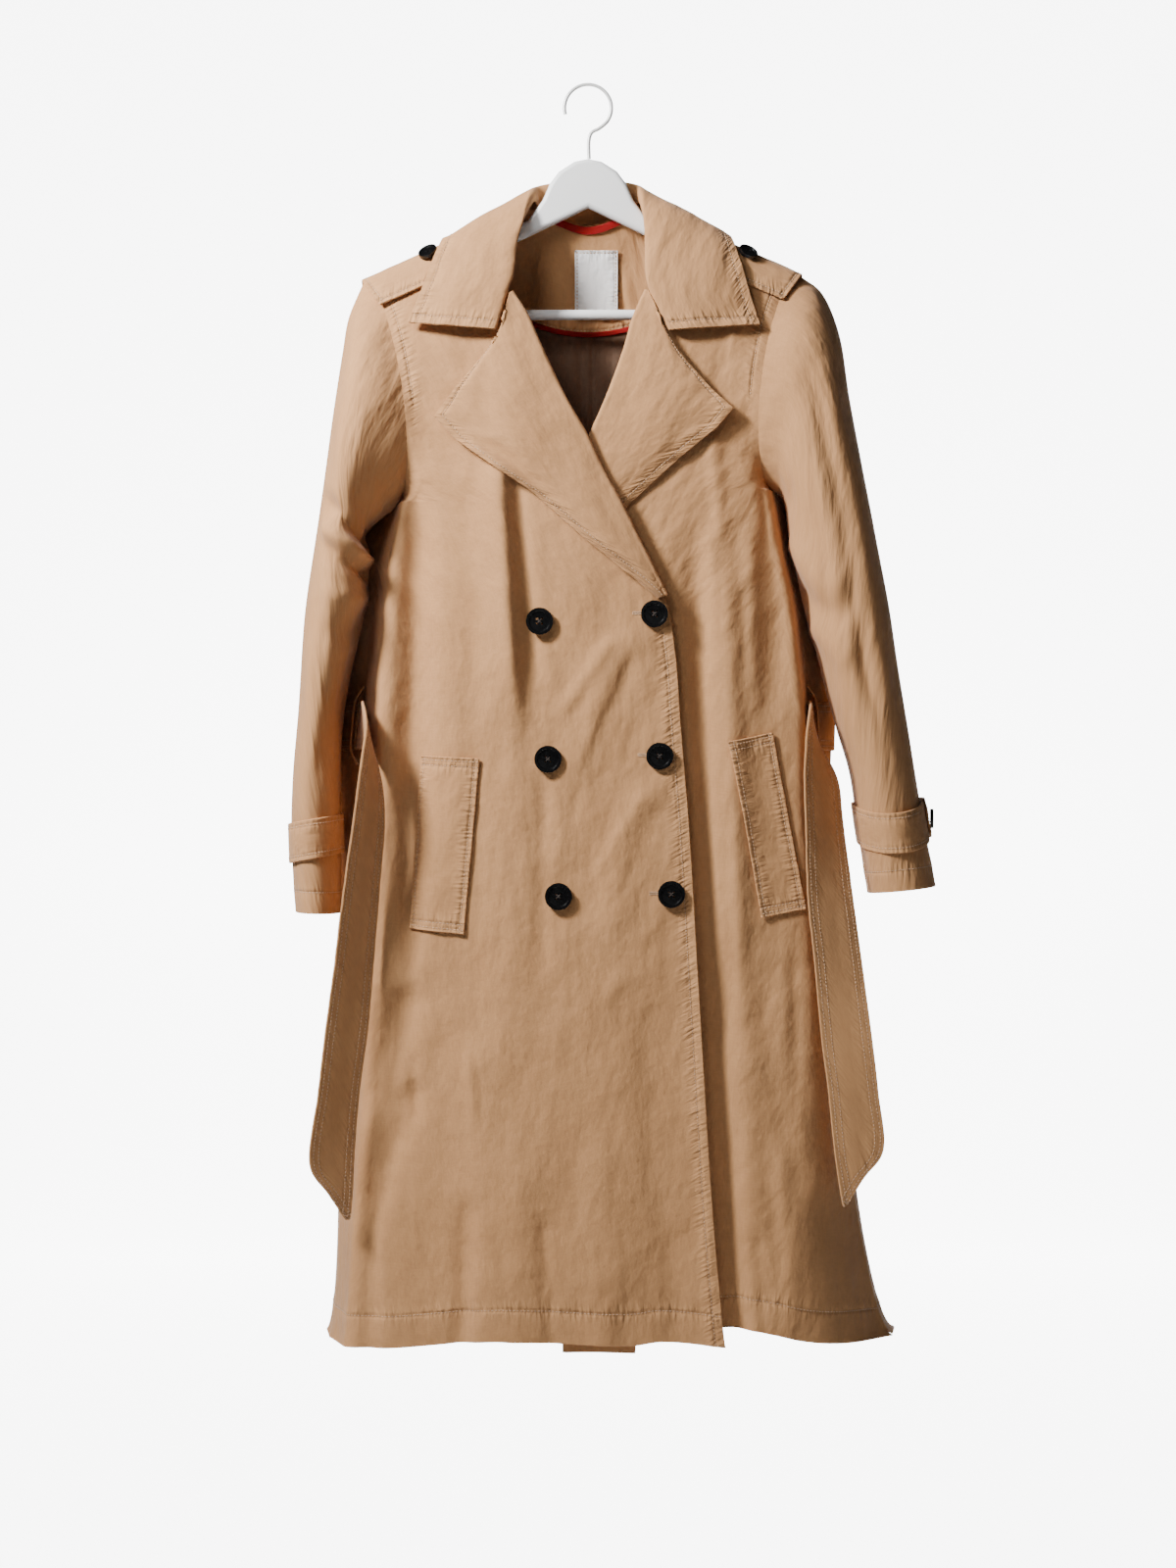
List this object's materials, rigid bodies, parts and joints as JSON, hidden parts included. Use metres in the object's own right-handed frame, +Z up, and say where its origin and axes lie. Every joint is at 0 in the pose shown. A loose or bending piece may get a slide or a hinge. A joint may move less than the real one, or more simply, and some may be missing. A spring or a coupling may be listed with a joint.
{
  "type": "trench coat on hanger",
  "caption": "Double-breasted trench coat with wide lapels, epaulets, slanted pockets, cuff straps and a loose belt, hanging open at the hem on a shaped hanger.",
  "frame": {"origin": "the inside top of the hanger's hook, where a rail carries it", "axes": "+Z up, the coat's front faces -Y, +X is the viewer's right"},
  "size_m": [0.6258, 0.1741, 1.2432],
  "materials": {
    "twill": "tan cotton twill, matt, with self-coloured topstitching",
    "lining": "brown lining, smooth",
    "red_trim": "red tape and piping",
    "label": "bare off-white woven label",
    "button": "black, half gloss, with a raised rim",
    "hanger_wood": "white paint, satin",
    "hook_wire": "pale wire, satin"
  },
  "bodies": {
    "root": {"front_over": "twill", "front_under": "twill", "back_left": "twill", "back_right": "twill", "sleeve_left_front": "twill", "sleeve_left_back": "twill", "sleeve_right_front": "twill", "sleeve_right_back": "twill", "lapel_over": "twill", "lapel_under": "twill", "collar": "twill", "epaulet_left": "twill", "epaulet_right": "twill", "pocket_left": "twill", "pocket_right": "twill", "cuff_strap_left": "twill", "cuff_strap_right": "twill", "belt_back": "twill", "belt_end_left": "twill", "belt_end_right": "twill", "belt_loop_left": "twill", "belt_loop_right": "twill", "vent_underlap": "twill", "neck_facing": "twill", "lining": "lining", "neck_piping": "red_trim", "neck_tape": "red_trim", "neck_label": "label", "button_left_1": "button", "button_left_2": "button", "button_left_3": "button", "button_right_1": "button", "button_right_2": "button", "button_right_3": "button", "epaulet_button_left": "button", "epaulet_button_right": "button", "cuff_button_left": "button", "cuff_button_right": "button", "hanger_board": "hanger_wood", "hanger_bar": "hanger_wood", "hanger_hook": "hook_wire"}
  },
  "joints": []
}
